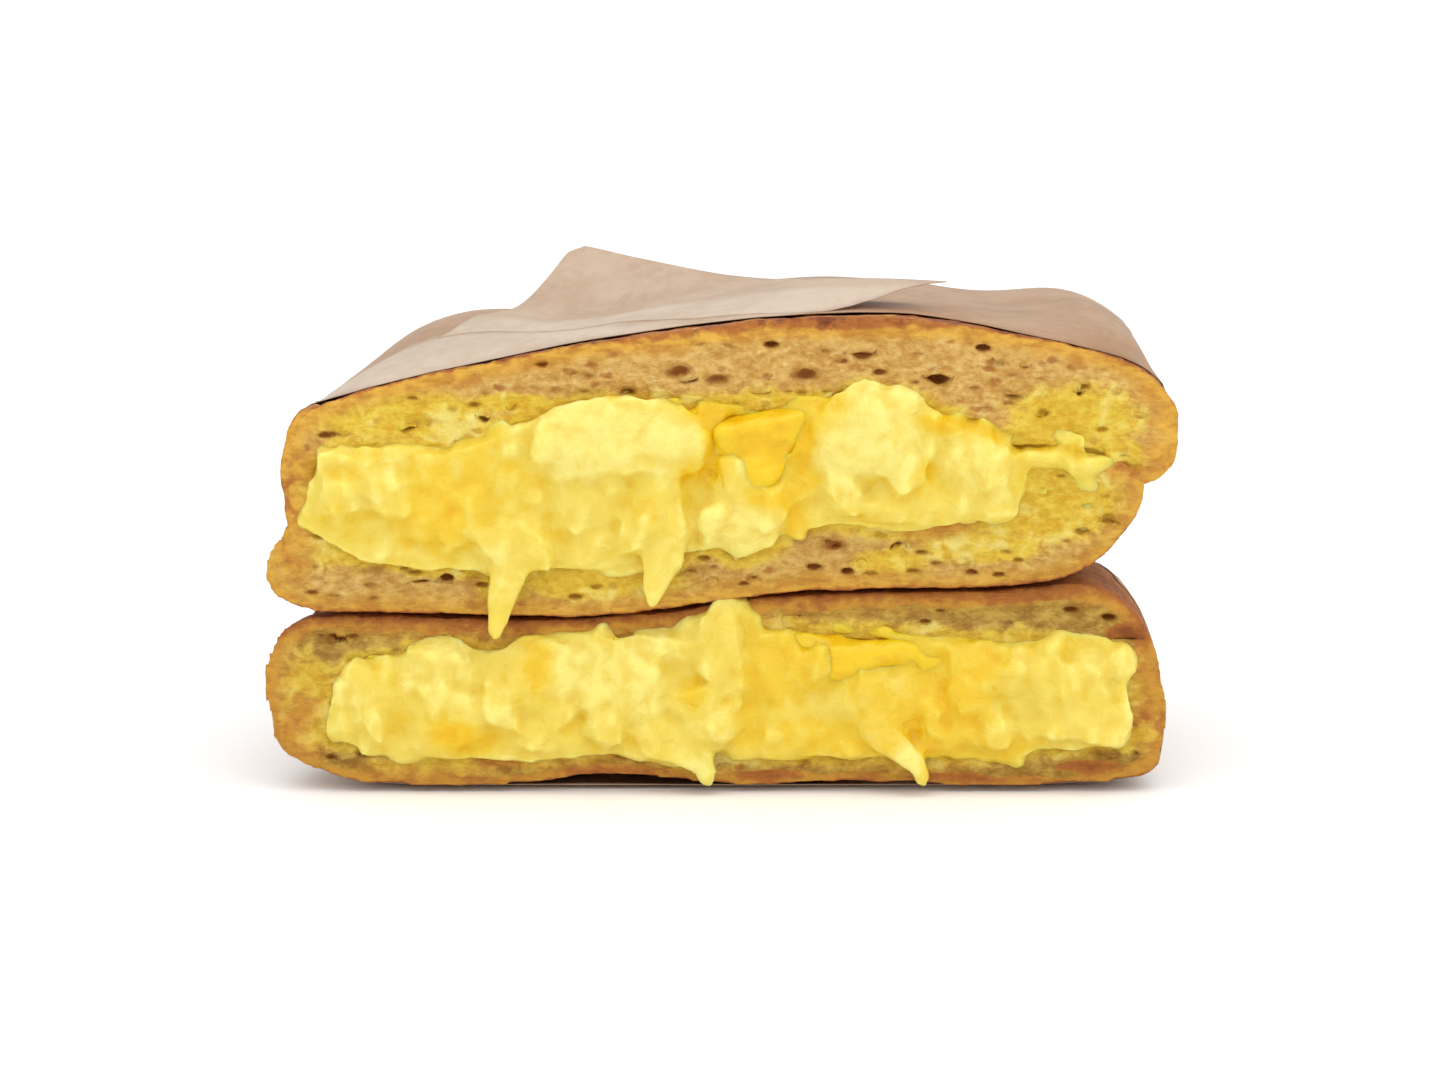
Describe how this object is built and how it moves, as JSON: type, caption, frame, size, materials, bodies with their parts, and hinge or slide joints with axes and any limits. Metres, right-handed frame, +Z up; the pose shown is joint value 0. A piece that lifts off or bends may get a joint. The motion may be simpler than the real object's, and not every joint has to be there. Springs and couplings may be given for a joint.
{
  "type": "breakfast sandwich",
  "caption": "Egg and cheese roll cut across, its halves stacked with the cut faces forward in tan wrapping paper.",
  "frame": {"origin": "middle of the box's underside, on the table", "axes": "+X along the cut face to the viewer's right, +Y away from the cut faces into the roll, +Z up"},
  "size_m": [0.1206, 0.0652, 0.0676],
  "materials": {
    "toasted_bread": "matte",
    "melted_cheese": "moist",
    "scrambled_egg": "moist",
    "wrapping_paper": "uncoated"
  },
  "bodies": {
    "root": {"upper_half_top_bread": "toasted_bread", "upper_half_base_bread": "toasted_bread", "lower_half_top_bread": "toasted_bread", "lower_half_base_bread": "toasted_bread", "upper_half_cheese": "melted_cheese", "lower_half_cheese": "melted_cheese", "upper_half_egg": "scrambled_egg", "lower_half_egg": "scrambled_egg", "upper_half_paper": "wrapping_paper", "turned_back_paper": "wrapping_paper", "lower_half_paper": "wrapping_paper"}
  },
  "joints": []
}
